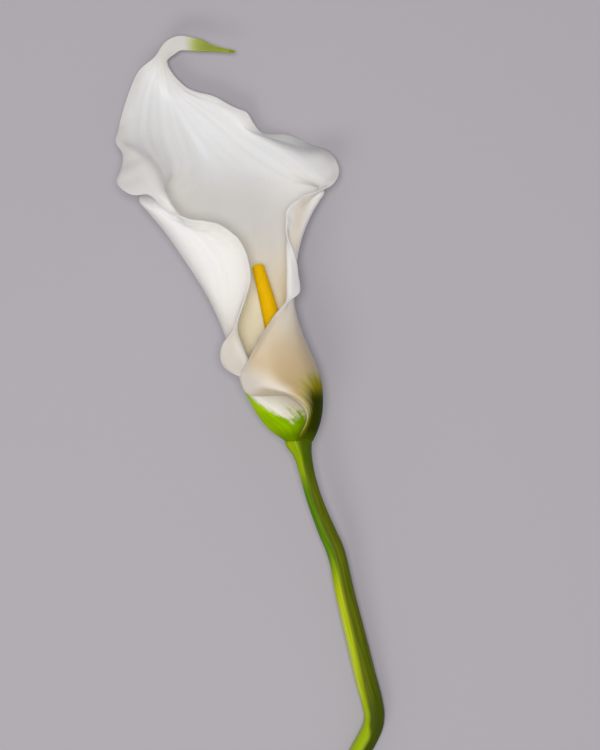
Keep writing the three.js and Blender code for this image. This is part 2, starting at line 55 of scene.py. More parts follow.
# Lines that run up the leaf, from its left margin round the back to its right margin.
# Each station: percent of the leaf's length, x and y from the neck, and height above the table.
leaf_lines = {
    "left margin": [
        (3, 3.4, 4.3, 23.6), (7, 4.2, 9.3, 25.2), (10.5, 0.8, 13, 25.9), (13.5, -4, 15, 26),
        (15, -7.2, 15.6, 26.2), (16.2, -9.4, 16.3, 26.8), (17.3, -11.2, 17.2, 27.7),
        (18.5, -13.6, 17.9, 28.5), (20, -16.8, 18.9, 28.8), (22.5, -20.7, 20.8, 28.7), (25, -23, 23.1, 29.6),
        (27, -23.6, 25.7, 30.2),
        (29, -22.9, 29, 31), (31.5, -20.2, 32.5, 32.6), (34, -18.9, 36, 33.6), (36, -17.8, 38.6, 33.9),
        (38, -16.6, 41.9, 34), (41, -14.9, 46.6, 34.2), (46, -15.3, 53.1, 34.4), (51, -17.1, 58.2, 34.7),
        (55, -19.3, 61, 35), (59, -23.4, 63.8, 35.3), (63, -28.6, 65.1, 35.5), (66, -33.9, 65.7, 35.4),
        (67.5, -37.4, 67, 34.8), (69, -40.4, 69.1, 33.7), (71, -44.6, 73, 31.7), (72.5, -48.9, 73, 29.3),
        (74, -52.5, 74.7, 27.2), (75.5, -54.4, 77, 25.1), (78, -53.3, 81.1, 23), (81, -53.2, 86.6, 20.4),
        (82.5, -55.3, 89.5, 17.6), (84.5, -55, 92.9, 14.6), (88, -53.1, 101.8, 10.4), (91.5, -49.3, 111.9, 8),
        (94.2, -44.6, 116.2, 8),
    ],
    "left lip": [
        (3, 1.8, 4.3, 24.6), (7, 0, 8.5, 26.8), (11, -4.8, 12.8, 27.4), (15, -10.9, 15, 27.1),
        (17, -13.4, 16.7, 26.7), (18.5, -14, 18.6, 27), (20, -14.9, 20.3, 27.9), (22.5, -15.3, 22.8, 29.2),
        (25, -16.3, 25.4, 30.4), (29, -18.1, 29.8, 30.8), (31.5, -18.9, 32.1, 31.2), (34, -19.3, 34.1, 31.6),
        (36, -18.9, 36.7, 32), (38, -18, 40.3, 32.6), (41, -16.7, 45.7, 33.4), (46, -17, 52.5, 33.8),
        (51, -18.8, 56.6, 34.2), (55, -21.2, 58.9, 34.5), (59, -25, 61.4, 34.6), (63, -29.8, 62.9, 34.4),
        (66, -33.8, 64.2, 33.8), (67.5, -35.7, 66.4, 33.6), (69, -37.8, 69.3, 33.6), (71, -40, 72.4, 33.2),
        (72.5, -41.4, 74.9, 32), (74, -42.5, 77.4, 30.5), (75.5, -43.6, 79.6, 29), (78, -45.9, 83.2, 26),
        (81, -50, 86.8, 22.1), (82.5, -52.8, 88.8, 18.2), (84.5, -52.9, 92.6, 14.3), (88, -51.2, 101, 9.3),
        (91.5, -48, 110.5, 6.9), (94.2, -44.4, 114.8, 7),
    ],
    "left front": [
        (3, -1.2, 3.4, 26), (7, -5.3, 7.3, 28), (15, -13.4, 13.9, 27.4), (22, -18.2, 21, 26),
        (26, -20, 25.5, 25.1), (30, -21.1, 30.2, 26), (34, -22.3, 35.5, 28.4), (38, -23.4, 40.8, 30.2),
        (46, -25.1, 51.4, 31.7), (55, -30.7, 60.3, 32.3), (63, -37.6, 65.6, 31.4), (66, -40.6, 68.2, 30.4),
        (69, -41.8, 71.1, 28.6), (72.5, -40.9, 75, 25.6), (75.5, -41.3, 79, 22.7), (78, -42.9, 82.2, 20.3),
        (81, -46.2, 86.6, 17.3), (84.5, -48.5, 92.9, 11.6), (88, -48.1, 99.9, 7.4), (91.5, -46.1, 109, 5.3),
        (94.2, -43.9, 113.5, 6.2),
    ],
    "left side": [
        (1.5, -5.7, 0.9, 20), (3, -8.2, 2.4, 20), (7, -12.4, 7.2, 20), (12, -15.4, 12.6, 20),
        (18, -18, 18.3, 20), (24, -20.4, 25.5, 20), (30, -22.8, 32.7, 20), (37, -27.3, 42.6, 20.3),
        (46, -34, 53.1, 20.6), (55, -41, 63.2, 21.2), (61, -46, 69.2, 21.5), (64, -48.3, 72, 21),
        (67, -47.8, 73.9, 19.2), (69.5, -45.6, 74.9, 17.3), (72.5, -42.4, 77.2, 14.6),
        (75.5, -39.4, 80.4, 11.6), (78, -39.2, 83.3, 9.8), (81, -40.8, 87.7, 7.7), (84.5, -42.2, 92.8, 5.3),
        (88, -42.6, 99.1, 3.5), (91.5, -42.9, 106.2, 3.2), (94.2, -43.1, 110.9, 4.7),
    ],
    "midrib": [
        (1.5, 0, 2, 13.7), (3, -0.6, 4, 11.9), (7, -2.1, 8.3, 9.8), (12, -3.3, 13.4, 8.9),
        (20, -5.8, 21.9, 8.6), (30, -10, 33.2, 8.3), (40, -14, 46.3, 7.1), (50, -18.3, 59.2, 5.3),
        (60, -22.7, 71, 3), (70, -27, 80.3, 0.9), (78, -30.7, 87.7, -0.2), (84.5, -33.8, 94.2, -0.2),
        (88, -35.7, 97.9, 0.4), (91.5, -37.5, 102.1, 1.4), (94.2, -39.5, 106.8, 2.9), (95.2, -40.8, 110.9, 4.4),
    ],
    "right side": [
        (1.5, 4.5, 1.2, 20), (3, 5.4, 3.3, 20), (7, 6.6, 8.1, 20), (12, 6.9, 14.4, 20), (18, 6, 20.1, 20),
        (24, 3.6, 26.1, 20), (30, 0.9, 32.1, 20), (37, -1.6, 40.5, 20), (43, -1.8, 46.5, 19.4),
        (50, -0.6, 56.2, 18.5), (56, 1.2, 62.8, 17.6), (62, 3.9, 68.9, 16.4), (66.5, 6.3, 72.9, 15.4),
        (68.5, 7.4, 74.7, 14.6), (70.5, 6.7, 76.7, 13.3), (74, -0.2, 79.3, 9.8), (79, -9.5, 84.4, 6.4),
        (84.5, -20.2, 92.3, 4.1), (88, -27, 98.2, 3.2), (91.5, -32.8, 102.5, 3.5), (94.2, -37.8, 107.3, 4.4),
        (95.2, -40.2, 111.4, 5.6),
    ],
    "right front": [
        (3, 3.4, 3.9, 27.1), (7, 4.8, 8.8, 29), (12, 1.6, 14.6, 31.1), (18, -4.6, 19.4, 32.2),
        (24, -6.6, 26.6, 32.2), (30, -5.4, 32.6, 31.1), (34, -4, 36.6, 29), (37, -3.2, 40, 26.8),
        (43, -2.2, 45.8, 24.2), (50, -1.9, 55.2, 23.5), (56, -1, 61.9, 22.6), (62, 1, 68.5, 20.9),
        (67, 3.6, 73, 18.9), (70, 6.2, 75.8, 17.4), (74, 5.4, 79.6, 15.2), (79, 0, 85, 10.3),
        (82, -5.5, 88.9, 7.2), (84.5, -11.6, 91.9, 5.4), (86, -15.7, 94, 5.1), (88, -20.8, 98.2, 5.3),
        (91.5, -29.3, 103.5, 5.6), (94.2, -36.6, 107.7, 5.9), (95.2, -39.6, 111.6, 6.8),
    ],
    "right lip": [
        (3, 1.9, 4, 28.5), (7, 2.9, 8.8, 30.7), (10, 0.8, 12.3, 31.8), (13, -3.9, 14.7, 32.6),
        (16, -8, 15.9, 32.8), (18.5, -11, 17.2, 32.7), (20.5, -12.7, 19.6, 32.5), (22.5, -13.7, 22.2, 32.4),
        (24.5, -13.8, 23.9, 32.4), (27, -12.8, 26, 32.6), (31, -9.4, 32, 32), (35, -5.6, 37.5, 29.9),
        (38, -3.6, 41, 27.5), (43, -3.3, 47.5, 26.2), (48, -3.3, 53.4, 25.6), (51, -3.5, 57, 25),
        (53, -3.4, 59.6, 24.3), (55, -2.9, 61.8, 23.9), (57, -2.3, 64.2, 23.8), (61, -1.3, 68, 23.2),
        (65, 1.4, 71.6, 22), (69, 5.8, 74.5, 19.6), (73, 8.4, 78, 16.9), (76, 8.4, 81.9, 14),
        (79, 5.5, 86.1, 9.8), (82, -0.3, 89.2, 2.9), (84.5, -8.3, 91.7, 3.1), (86, -13.3, 93, 3.9),
        (87, -15.9, 95, 4.8), (87.8, -17.8, 97.3, 5.5), (88.6, -19.6, 99.3, 6), (91.5, -27.6, 103.6, 6.6),
        (94.2, -35.9, 107.2, 6.4), (95.2, -39.2, 111.2, 7),
    ],
    "right margin": [
        (3, 1, 3.9, 28.2), (5, 1.9, 6, 29.2), (7, 1.9, 8.4, 30.2), (10, -0.5, 11.7, 30.9), (13, -4.7, 13.9, 31),
        (16, -10.4, 13.6, 30.6), (17.3, -13.6, 13.5, 30), (18.5, -15.9, 14.2, 29.8), (19.5, -16.9, 15.6, 29.8),
        (20.5, -17.3, 17, 30.1), (22.5, -17.7, 19.6, 30.8), (24.5, -16.1, 22.6, 31.4), (27, -14.2, 26.4, 31.8),
        (31, -10.4, 33.2, 31.2), (35, -6.4, 38.9, 29.6), (38, -2.8, 42, 28.3), (40, -0.6, 43.6, 27),
        (43, -0.1, 46.3, 25.7), (46, -0.7, 49.9, 25.3), (48, -0.9, 52.6, 25.4), (51, -2.1, 57.1, 26),
        (53, -3.2, 60, 26.2), (55, -3.8, 62.6, 26), (57, -4, 65.1, 25.7), (61, -3.3, 69.3, 25.3),
        (65, 0, 72.3, 24.2), (69, 5.7, 74.9, 21.4), (73, 10.5, 77.7, 17.5), (75, 11.7, 80.9, 15.1),
        (77, 11, 84.2, 12.2), (79, 8.8, 87.3, 7.4), (82, 2.8, 90.6, -0.2), (84, -4.4, 93.4, 0.8),
        (85, -7.6, 93.6, 1.6), (86, -11, 93.8, 2.6), (87, -13.2, 95.1, 4.3), (87.6, -15, 97.7, 5.8),
        (88.2, -15.9, 99.7, 6.8), (89, -18.3, 100.6, 7.4), (90, -21.6, 102.2, 7.7), (91.5, -26.2, 104.6, 7.7),
        (93, -31.8, 105.9, 7.7), (94.2, -35.5, 108, 7.7), (95.2, -39, 111.8, 8),
    ],
}
# Middle of the tail, with the width of its channel in the last column
tail_line = [
    (96, -42, 116.3, 7.7, 3.9), (97, -39.4, 119.3, 8.3, 4.7), (98, -36.1, 120.7, 8.6, 4.5),
    (98.7, -32.9, 120.3, 8.8, 4.1), (99.3, -29.3, 119.7, 8.9, 3.3), (99.7, -25.7, 118.8, 9.3, 1.6),
    (100, -19.7, 117.9, 9.8, 0.7),
]
TAIL_HOLLOW = 0.75  # depth of the channel over its half width
# Each line's angle round the neck, its angle in the tail's channel, and how far it stands out at the
# neck, where the right flap laps over the left one
line_ends = {
    "left margin": (60, 180, -0.6), "left lip": (80, 202, -0.4), "left front": (120, 222, -0.1),
    "left side": (180, 245, 0), "midrib": (270, 270, 0), "right side": (360, 295, 0),
    "right front": (425, 318, 1), "right lip": (450, 338, 1.3), "right margin": (458, 360, 1.4),
}


def curve_at(stations, at):
    """Points of the smooth curve through stations (place, values...) at the places given."""
    stations = np.asarray(stations, float)
    place, value = stations[:, 0], stations[:, 1:]
    gap = np.diff(place)[:, None]
    slope = np.diff(value, axis=0) / gap
    lean = (slope[:-1] * gap[1:] + slope[1:] * gap[:-1]) / (gap[:-1] + gap[1:])
    lean = np.vstack([slope[:1], lean, slope[-1:]])
    at = np.asarray(at, float)
    k = np.clip(np.searchsorted(place, at, side="right") - 1, 0, len(gap) - 1)
    s = ((at - place[k]) / gap[k, 0])[:, None]
    start, end = lean[k] * gap[k], lean[k + 1] * gap[k]
    rise = value[k + 1] - value[k]
    return value[k] + s * (start + s * (3 * rise - 2 * start - end + s * (start + end - 2 * rise)))


def ease(low, high, x):
    """0 below low, 1 above high, and a smooth rise between them."""
    s = np.clip((np.asarray(x, float) - low) / (high - low), 0, 1)
    return s * s * (3 - 2 * s)


def whole_line(name):
    """A leaf line with its start on the neck and its end in the tail's channel."""
    round_neck, round_tail, lap = line_ends[name]
    turn, radius = math.radians(round_neck), NECK_RADIUS + lap
    start = (0, radius * math.cos(turn) - NECK_LEFT, 0, NECK_HEIGHT + radius * math.sin(turn))
    end, turn = [], math.radians(round_tail)
    for i, (percent, x, y, height, width) in enumerate(tail_line):
        before, after = tail_line[max(i - 1, 0)], tail_line[min(i + 1, len(tail_line) - 1)]
        run = math.hypot(after[1] - before[1], after[2] - before[2])
        side = width / 2 * math.cos(turn) / run
        sink = width / 2 * TAIL_HOLLOW * (0.5 + math.sin(turn))
        across_x, across_y = side * (after[2] - before[2]), side * (before[1] - after[1])
        end.append((percent, x + across_x, y + across_y, height + sink))
    return [start, *leaf_lines[name], *end]


SPAN = 8  # columns between two lines
# Rows across the leaf: its tube, its limb and its tail, each with its own spacing
TUBE_ROWS, LIMB_ROWS, TAIL_ROWS = 90, 120, 32
TUBE_END, LIMB_END = 58, 96
percents = np.concatenate([
    np.linspace(0, TUBE_END, TUBE_ROWS + 1)[:-1], np.linspace(TUBE_END, LIMB_END, LIMB_ROWS + 1)[:-1],
    np.linspace(LIMB_END, 100, TAIL_ROWS + 1),
])
lines = {name: curve_at(whole_line(name), percents) for name in leaf_lines}

# Four more lines run out on the round corners of the tube, where a circle's corner lies 0.707 of the way
# out, and move in to half way as the limb flattens out, between these percents of the leaf
LIMB_OPENS = (55, 85)
round_tube = 1 - ease(*LIMB_OPENS, percents)[:, None]
out, lengthwise = 0.5 + 0.207 * round_tube, 0.5 + 0.1 * round_tube


def corner(side, face):
    """The line on the tube's round corner between a side line and the line of a face."""
    side, face = lines[side], lines[face]
    return np.hstack([
        face[:, :1] + out * (side - face)[:, :1], face[:, 1:2] + lengthwise * (side - face)[:, 1:2],
        side[:, 2:] + out * (face - side)[:, 2:],
    ])


ribs = np.stack([
    lines["left margin"], lines["left lip"], lines["left front"], corner("left side", "left front"),
    lines["left side"], corner("left side", "midrib"), lines["midrib"], corner("right side", "midrib"),
    lines["right side"], corner("right side", "right front"), lines["right front"], lines["right lip"],
    lines["right margin"],
], axis=1)
rows, spans = ribs.shape[0], ribs.shape[1] - 1
columns = spans * SPAN + 1
outer = np.empty((rows, columns, 3))
for i, rib in enumerate(ribs):
    knots = np.concatenate([[0], np.cumsum(np.sqrt(np.linalg.norm(np.diff(rib, axis=0), axis=1)))])
    places = np.interp(np.arange(columns) / SPAN, np.arange(spans + 1), knots)
    outer[i] = curve_at(np.column_stack([knots, rib]), places)


def neighbours(grid):
    """The mean of each point's four neighbours, with the grid's edges repeated."""
    g = np.pad(grid, ((1, 1), (1, 1), (0, 0)), mode="edge")
    return (g[:-2, 1:-1] + g[2:, 1:-1] + g[1:-1, :-2] + g[1:-1, 2:]) / 4


for _ in range(3):  # the leaf has no creases
    outer[1:-1, 1:-1] = neighbours(outer)[1:-1, 1:-1]
    margins = outer[:, ::columns - 1]
    outer[1:-1, ::columns - 1] = (margins[:-2] + margins[2:]) / 8 + margins[1:-1] * 0.75


def facing(grid):
    """Unit vectors that point from the grid's outer side to its inner side."""
    across = np.gradient(grid, axis=1)
    along = np.gradient(grid, axis=0)
    inward = np.cross(across, along)
    return inward / (np.linalg.norm(inward, axis=2, keepdims=True) + 1e-12)


# Fine ripples of the free limb, strongest near its margins: a long wave and a shorter, lower one, each
# with its count up the leaf and round it
RIPPLE_HEIGHT = 0.16
TABLE_GAP = 0.02  # the leaf stays this far above the table where it rests on it
round_leaf = np.linspace(0, 1, columns)[None, :]
up_leaf = percents[:, None] / 100
from_margin = np.minimum(round_leaf, 1 - round_leaf)
ripple = sum(
    height * np.sin(2 * math.pi * (up_leaf * up_count + round_leaf * round_count))
    for height, up_count, round_count in ((1, 17, 2), (0.6, 29, -3))
)
free = ease(0.45, 0.6, up_leaf) * (1 - ease(0.9, 0.96, up_leaf))
ripple *= RIPPLE_HEIGHT * free * (1 - ease(0.02, 0.16, from_margin))
outer += facing(outer) * ripple[..., None]
outer[..., 2] = np.maximum(outer[..., 2], TABLE_GAP)

# The inner face lies inside the outer one by the leaf's thickness. Towards the tail it lies straight
# above it, and the tail's channel fills up until its tip is solid.
THICK_NECK, THICK_LIMB, THICK_MARGIN = 1.0, 0.8, 0.5
LIES_STRAIGHT, TAIL_FILLS = (82, 90), (94, 98)  # percents of the leaf between which these set in
inward = facing(outer)
inward += (np.array([0, 0, 1]) - inward) * ease(*LIES_STRAIGHT, percents)[:, None, None]
for _ in range(6):
    inward = (inward + neighbours(inward)) / 2
inward /= np.linalg.norm(inward, axis=2, keepdims=True)
thickness = THICK_NECK + (THICK_LIMB - THICK_NECK) * up_leaf
thickness = THICK_MARGIN + (thickness - THICK_MARGIN) * ease(0, 0.07, from_margin)
brim = outer[:, :1, 2] + (outer[:, -1:, 2] - outer[:, :1, 2]) * round_leaf
inner = outer + inward * thickness[..., None]
inner[..., 2] += ease(*TAIL_FILLS, percents)[:, None] * np.maximum(brim - outer[..., 2], 0)

ROUND_EDGE = 0.35  # how far the rounded edges stand out, in thicknesses of the leaf


def rim(outer_edge, inner_edge, outer_next):
    """The row of points that rounds an edge: it stands out between the leaf's two faces."""
    away = outer_edge - outer_next
    away /= np.linalg.norm(away, axis=1, keepdims=True) + 1e-12
    wall = np.linalg.norm(inner_edge - outer_edge, axis=1, keepdims=True)
    return (outer_edge + inner_edge) / 2 + away * ROUND_EDGE * wall


left_rim = rim(outer[:, 0], inner[:, 0], outer[:, 1])
right_rim = rim(outer[:, -1], inner[:, -1], outer[:, -2])
leaf_points = np.vstack([outer.reshape(-1, 3), inner.reshape(-1, 3), left_rim, right_rim])
faces = []
size = rows * columns
for i in range(rows - 1):
    for j in range(columns - 1):
        a, b = i * columns + j, i * columns + j + 1
        faces.append((a, a + columns, b + columns, b))
        faces.append((size + a, size + b, size + b + columns, size + a + columns))
    left, right = 2 * size + i, 2 * size + rows + i
    a, b = i * columns, (i + 1) * columns
    faces += [(a, left, left + 1, b), (left, size + a, size + b, left + 1)]
    a, b = a + columns - 1, b + columns - 1
    faces += [(a, b, right + 1, right), (right, right + 1, size + b, size + a)]
for i, turned in ((0, False), (rows - 1, True)):  # the walls at the neck and at the tail's tip
    edge = [2 * size + i, *range(i * columns, (i + 1) * columns), 2 * size + rows + i]
    back = [*range(size + i * columns, size + (i + 1) * columns)]
    ring = [(edge[0], back[0], edge[1]), (edge[-1], edge[-2], back[-1])]
    ring += [(edge[j + 1], back[j], back[j + 1], edge[j + 2]) for j in range(columns - 1)]
    faces += [face[::-1] for face in ring] if turned else ring


def mesh_of(name, points, faces):
    """A new piece from points in millimetres round the neck, with smooth faces."""
    mesh = bpy.data.meshes.new(name)
    mesh.from_pydata(((points + NECK) * MM).tolist(), [], faces)
    mesh.validate()
    mesh.shade_smooth()
    piece = bpy.data.objects.new(name, mesh)
    bpy.context.collection.objects.link(piece)
    return piece


spathe = mesh_of("spathe_leaf", leaf_points, faces)
# Place on the leaf: x round it from margin to margin, y up it from neck to tail, z 0 outside, 1 inside
round_all, up_all = [a.ravel() for a in np.broadcast_arrays(round_leaf, up_leaf)]
edge_up = percents / 100
leaf_place = np.column_stack([
    np.concatenate([round_all, round_all, 0 * edge_up, 0 * edge_up + 1]),
    np.concatenate([up_all, up_all, edge_up, edge_up]),
    np.concatenate([0 * round_all, 0 * round_all + 1, 0 * edge_up + 0.5, 0 * edge_up + 0.5]),
])
placed = spathe.data.attributes.new("leaf_place", "FLOAT_VECTOR", "POINT")
placed.data.foreach_set("vector", leaf_place.ravel())


def srgb(hex_colour):
    """A linear RGBA colour from an sRGB hex value."""
    channels = [int(hex_colour[i:i + 2], 16) / 255 for i in (1, 3, 5)]
    return [c / 12.92 if c <= 0.04045 else ((c + 0.055) / 1.055) ** 2.4 for c in channels] + [1.0]


def add(tree, kind, inputs=None, **settings):
    """Adds a node to a tree. inputs gives each socket a value, or another node's socket to link."""
    node = tree.nodes.new(kind)
    for name, value in settings.items():
        setattr(node, name, value)
    for socket, value in (inputs or {}).items():
        if isinstance(value, bpy.types.NodeSocket):
            tree.links.new(value, node.inputs[socket])
        else:
            node.inputs[socket].default_value = value
    return node


def wash(tree, colour, tint, *limits, most=1.0):
    """Lays a thin wash of a tint over a colour, and returns the socket with the result.

    Each limit is a value, where the tint begins on it, and where it is full. most is its full share."""
    for value, begins, full in limits:
        most = add(tree, "ShaderNodeMapRange", {0: value, 1: begins, 2: full, 4: most},
                   interpolation_type="SMOOTHSTEP").outputs[0]
    under, over = [srgb(c) if isinstance(c, str) else c for c in (colour, tint)]
    return add(tree, "ShaderNodeMix", {0: most, 6: under, 7: over}, data_type="RGBA").outputs[2]


# Waxy white leaf tissue: soft light goes into it and comes out again, and its skin has a dull shine.
# Fine veins run up it, and green streaks climb from the neck and sit at the end of the tail.
tissue = bpy.data.materials.new("waxy_spathe_tissue")
tissue.use_nodes = True
tree = tissue.node_tree
skin = tree.nodes["Principled BSDF"]
place = add(tree, "ShaderNodeAttribute", attribute_name="leaf_place").outputs["Vector"]
round_it, up_it, inside = add(tree, "ShaderNodeSeparateXYZ", {0: place}).outputs
from_edge = add(tree, "ShaderNodeMath", {0: round_it, 1: 0.5}, operation="PINGPONG").outputs[0]
spot = add(tree, "ShaderNodeTexCoord").outputs["Object"]

# Patterns drawn out up the leaf: veins, 110 across it and so 1 to 1.5 mm apart in the limb, broader
# bands in its white, and the streaks of its green
drawn_out = []
for counts, detail, roughness in (((110, 5, 3), 3, 0.5), ((24, 2.2, 3), 2, 0.5), ((60, 8, 0), 4, 0.6)):
    counted = add(tree, "ShaderNodeVectorMath", {0: place, 1: counts}, operation="MULTIPLY").outputs[0]
    drawn_out.append(add(tree, "ShaderNodeTexNoise", {
        "Vector": counted, "Scale": 1.0, "Detail": detail, "Roughness": roughness,
    }).outputs["Fac"])
veins, bands, streaks = drawn_out
# Flecks of green 1.4 mm apart, and skin cells, which are 0.05 mm wide but drawn at 0.25 mm to show
flecks, cells = [
    add(tree, "ShaderNodeTexNoise", {"Vector": spot, "Scale": per_metre, "Detail": detail}).outputs["Fac"]
    for per_metre, detail in ((700.0, 2), (4000.0, 1))
]

# White, with painted shade that makes it greyer towards its margins and browner on the underside of the curl
# where the flap rolls back
colour = wash(tree, "#F8F7F4", "#F1EFEC", (bands, 0.35, 0.7))
margin = wash(tree, "#DDDBD8", "#CFC7BF", (up_it, 0.37, 0.3))
colour = wash(tree, colour, margin, (from_edge, 0.17, 0.03))
colour = wash(tree, colour, "#BBAE9B", (up_it, 0.19, 0.165), (round_it, 0.91, 0.945))
# A beige tint with painted shade on the outside of the right flank, beside the white lapel that its margin
# makes
lapel = add(tree, "ShaderNodeMapRange", {0: up_it, 1: 0.6, 2: 0.66, 4: 0.1},
            interpolation_type="SMOOTHSTEP").outputs[0]
off_lapel = add(tree, "ShaderNodeMath", {0: round_it, 1: lapel}, operation="SUBTRACT").outputs[0]
colour = wash(
    tree, colour, "#DCD1C5", (round_it, 0.74, 0.8), (off_lapel, 0.94, 0.89), (up_it, 0.4, 0.52),
    (up_it, 0.75, 0.6), (inside, 1, 0), most=0.8,
)
# Cream and painted shade on the outside deepen down the tube, most on the shaded right flap, but leave its
# margin white
off_margin = round_it
for begins, full, width in ((0.17, 0.28, 0.095), (0.15, 0.11, 0.04)):
    wider = add(tree, "ShaderNodeMapRange", {0: up_it, 1: begins, 2: full, 4: width},
                interpolation_type="SMOOTHSTEP").outputs[0]
    off_margin = add(tree, "ShaderNodeMath", {0: off_margin, 1: wider}, operation="SUBTRACT").outputs[0]
on_flap = add(tree, "ShaderNodeMapRange", {0: round_it, 1: 0.55, 2: 0.76, 3: 0.3, 4: 1.0},
              interpolation_type="SMOOTHSTEP").outputs[0]
cream_and_shade = wash(tree, "#C6B292", "#B8A26E", (up_it, 0.24, 0.1))
colour = wash(
    tree, colour, cream_and_shade, (up_it, 0.47, 0.2), (off_margin, 0.945, 0.83), (inside, 1, 0), most=on_flap,
)
# Inside, painted shade greys the tube, and its throat is pale yellow
for tint, begins, full in (("#E0DCD8", 0.8, 0.6), ("#FFF0D0", 0.56, 0.33)):
    colour = wash(tree, colour, tint, (up_it, begins, full), (from_edge, 0.08, 0.2), (inside, 0, 1))

# The green base: how far up the leaf it climbs at each place round it, as shares of both
climb = add(tree, "ShaderNodeFloatCurve", {"Value": round_it})
heights = [
    (0, 0.05), (0.06, 0.062), (0.1, 0.068), (0.13, 0.054), (0.15, 0.056), (0.17, 0.08), (0.19, 0.09),
    (0.22, 0.115), (0.25, 0.135), (0.3, 0.155), (0.5, 0.15), (0.66, 0.165), (0.72, 0.175), (0.76, 0.158),
    (0.8, 0.135), (0.83, 0.115), (0.87, 0.098), (0.93, 0.078), (0.955, 0.056), (0.97, 0.042), (1, 0.036),
]
curve = climb.mapping.curves[0]
curve.points[0].location, curve.points[1].location = heights[0], heights[-1]
for height in heights[1:-1]:
    curve.points.new(*height)
climb.mapping.update()
# Its edge is ragged with streaks and, on the left, with flecks, and it is softer on the right
edge = add(tree, "ShaderNodeMath", {0: climb.outputs[0], 1: up_it}, operation="SUBTRACT").outputs[0]
for pattern, left, right, left_reach, right_reach in (
    (streaks, 0.45, 0.65, 0.1, 0.075), (flecks, 0.4, 0.6, 0.045, 0.0),
):
    reach = add(tree, "ShaderNodeMapRange", {0: round_it, 1: left, 2: right, 3: left_reach, 4: right_reach},
                interpolation_type="SMOOTHSTEP").outputs[0]
    strayed = add(tree, "ShaderNodeMath", {0: pattern, 1: 0.5}, operation="SUBTRACT").outputs[0]
    edge = add(tree, "ShaderNodeMath", {0: strayed, 1: reach, 2: edge}, operation="MULTIPLY_ADD").outputs[0]
softness = add(tree, "ShaderNodeMapRange", {0: round_it, 1: 0.45, 2: 0.65, 3: 0.014, 4: 0.028},
               interpolation_type="SMOOTHSTEP").outputs[0]
sharp_edge = add(tree, "ShaderNodeMath", {0: edge, 1: softness}, operation="DIVIDE").outputs[0]
green = add(tree, "ShaderNodeMapRange", {0: sharp_edge, 1: -1.0, 2: 1.0},
            interpolation_type="SMOOTHSTEP").outputs[0]
# Green on the left, painted lighter as the lit side, with deeper streaks and painted shade beside the flap
lit_base_green = wash(tree, "#688A00", "#9AC400", (up_it, 0.005, 0.05))
lit_base_green = wash(tree, lit_base_green, "#AEDA00", (up_it, 0.06, 0.1))
shaded_green = wash(tree, "#688A00", "#4E6600", (up_it, 0.045, 0.015))
lit_base_green = wash(tree, lit_base_green, shaded_green, (round_it, 0.24, 0.06), most=0.8)
lit_base_green = wash(tree, lit_base_green, "#567A00", (streaks, 0.65, 0.4), most=0.3)
# Painted shade on the right: dark green, olive at its top and near the flap's margin
shaded_base_green = wash(tree, "#928A08", "#2C3600", (up_it, 0.155, 0.1))
shaded_base_green = wash(tree, shaded_base_green, "#7A7800", (round_it, 0.86, 0.97), most=0.85)
shaded_base_green = wash(tree, shaded_base_green, "#445600", (up_it, 0.035, 0.0), most=0.9)
leaf_green = wash(tree, lit_base_green, shaded_base_green, (round_it, 0.52, 0.68))
colour = wash(tree, colour, "#B0B45A", (edge, -0.04, 0.0), most=0.3)
colour = wash(tree, colour, leaf_green, most=green)

# Painted shade makes the tail a little greyer before it turns green
tail_edge = add(tree, "ShaderNodeMath", {0: bands, 1: 0.004, 2: up_it}, operation="MULTIPLY_ADD").outputs[0]
tail_green = wash(tree, "#A8AE4C", "#84920E", (up_it, 0.985, 0.996))
colour = wash(tree, colour, "#CFCECC", (up_it, 0.925, 0.965))
colour = wash(tree, colour, tail_green, (tail_edge, 0.983, 0.9925))
tree.links.new(colour, skin.inputs["Base Color"])

# Veins and cells stand up a little, the veins are duller, and the green has next to no shine
relief = add(tree, "ShaderNodeMath", {0: cells, 1: 0.12, 2: veins}, operation="MULTIPLY_ADD").outputs[0]
raised = add(tree, "ShaderNodeBump", {"Height": relief, "Strength": 0.09, "Distance": 0.0004})
tree.links.new(raised.outputs[0], skin.inputs["Normal"])
dull_veins = add(tree, "ShaderNodeMapRange", {0: veins, 1: 0.2, 2: 0.8, 3: 0.38, 4: 0.5},
                 interpolation_type="SMOOTHSTEP")
tree.links.new(dull_veins.outputs[0], skin.inputs["Roughness"])
shine = add(tree, "ShaderNodeMath", {0: green, 1: -0.24, 2: 0.25}, operation="MULTIPLY_ADD")
tree.links.new(shine.outputs[0], skin.inputs["Specular IOR Level"])
skin.inputs["Subsurface Weight"].default_value = 0.8
skin.inputs["Subsurface Radius"].default_value = (1.0, 0.9, 0.7)
skin.inputs["Subsurface Scale"].default_value = 0.003
spathe.data.materials.append(tissue)
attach(spathe, "root")
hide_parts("spathe")

# ---- Spadix -------------------------------------------------------------------------------------
# The yellow column in the funnel. It is packed with florets under a millimetre wide, set in spirals, so
# close that it looks almost smooth, and its blunt tip is nearly flat. It grows out of the stem's pith.
spadix_line = [  # distance along it, x, y, height, radius
    (0, -0.5, 3.5, 20, 2.4), (3, -0.8, 6.4, 20, 2.75), (9, -2.1, 12, 20, 2.9), (17, -4.2, 19.7, 19.8, 3),
    (26, -6.6, 28.5, 19.4, 2.9), (34.5, -8.5, 36.8, 19.1, 2.6), (45.5, -11.3, 47.5, 18.5, 2.05),
    (51, -12.8, 52.9, 18.2, 1.8),
]
SPADIX_LENGTH = 51
TIP_ROUND = 1.1  # the tip is round over this length
TIP_BLUNT = 2.6  # 2 would make it an ellipse, and more makes it flatter
FLORETS = 2400
FLORET_WIDTH = 0.68
FLORET_HEIGHT = 0.5  # of its width
FLORET_SUNK = 0.2  # the share of its width that its middle lies under the column's surface
GOLDEN_TURN = math.radians(137.508)  # from one floret to the next
COLUMN_SIDES = 32
SEED = 3  # for the florets' sizes


def input_of(tree, name, kind, default=None):
    """Adds a named input to a tree of geometry nodes."""
    socket = tree.interface.new_socket(name, in_out="INPUT", socket_type=kind)
    if default is not None:
        socket.default_value = default


